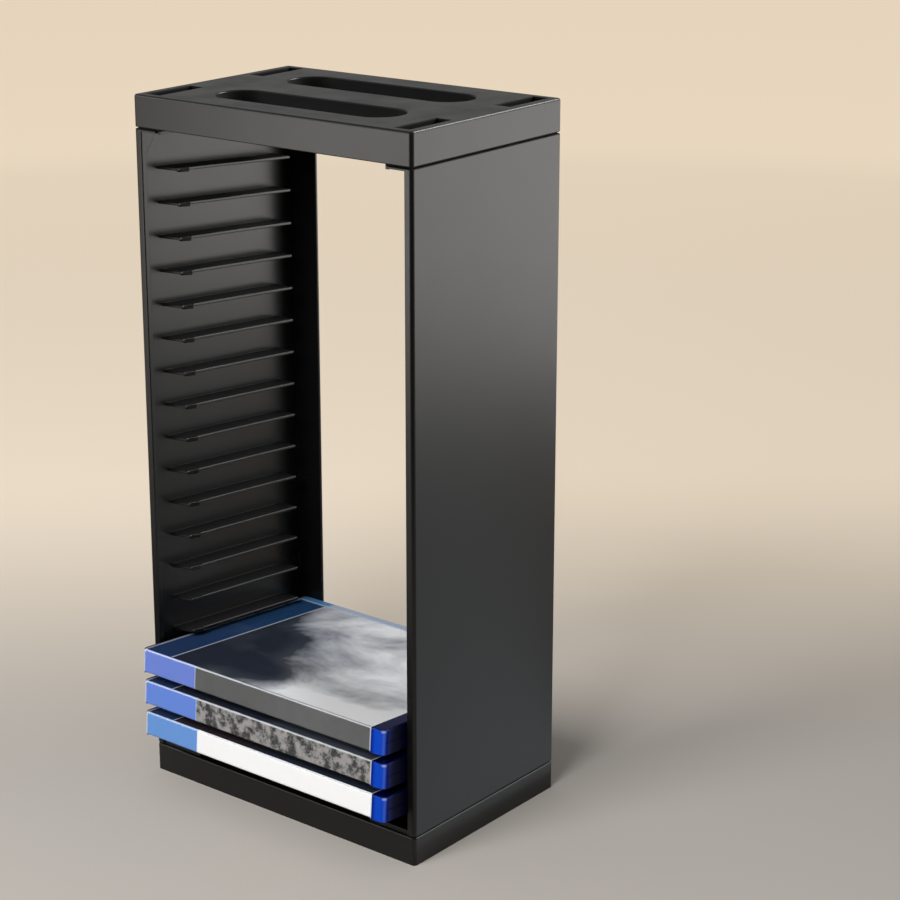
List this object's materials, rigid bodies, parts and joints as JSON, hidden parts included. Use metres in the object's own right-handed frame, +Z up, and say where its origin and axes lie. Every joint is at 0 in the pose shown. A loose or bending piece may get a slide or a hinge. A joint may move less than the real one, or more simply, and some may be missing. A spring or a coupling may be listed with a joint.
{
  "type": "disc storage rack",
  "caption": "Narrow tower open at front and back, with slanted ribs inside both walls that carry disc cases laid flat, and finger openings in its cap.",
  "frame": {"origin": "middle of the rack's footprint, on the surface that it stands on", "axes": "+X along the rack's width, to the right from the open front; +Y from the open front to the back; +Z up"},
  "size_m": [0.185, 0.1377, 0.38],
  "materials": {
    "rack_plastic": "fine satin black moulding, slightly glossy",
    "case_plastic": "clear blue moulding",
    "clear_film": "thin clear plastic sleeve",
    "printed_paper": "printed paper under the sleeve",
    "disc_plastic": "silvered disc"
  },
  "bodies": {
    "rack": {"top_cap": "rack_plastic", "base": "rack_plastic", "left_side_panel": "rack_plastic", "right_side_panel": "rack_plastic"},
    "upper_case": {"upper_case_back_cover": "case_plastic", "upper_case_front_cover": "case_plastic", "upper_case_clear_sleeve": "clear_film", "upper_case_printed_insert": "printed_paper", "upper_case_disc": "disc_plastic"},
    "middle_case": {"middle_case_back_cover": "case_plastic", "middle_case_front_cover": "case_plastic", "middle_case_clear_sleeve": "clear_film", "middle_case_printed_insert": "printed_paper", "middle_case_disc": "disc_plastic"},
    "lower_case": {"lower_case_back_cover": "case_plastic", "lower_case_front_cover": "case_plastic", "lower_case_clear_sleeve": "clear_film", "lower_case_printed_insert": "printed_paper", "lower_case_disc": "disc_plastic"}
  },
  "joints": [
    {"name": "upper_case_slide", "type": "slide", "parent": "rack", "child": "upper_case", "axis": [0, -0.9969, 0.0785], "range_m": [0, 0.12]},
    {"name": "middle_case_slide", "type": "slide", "parent": "rack", "child": "middle_case", "axis": [0, -0.9969, 0.0785], "range_m": [0, 0.12]},
    {"name": "lower_case_slide", "type": "slide", "parent": "rack", "child": "lower_case", "axis": [0, -0.9969, 0.0785], "range_m": [0, 0.12]}
  ]
}
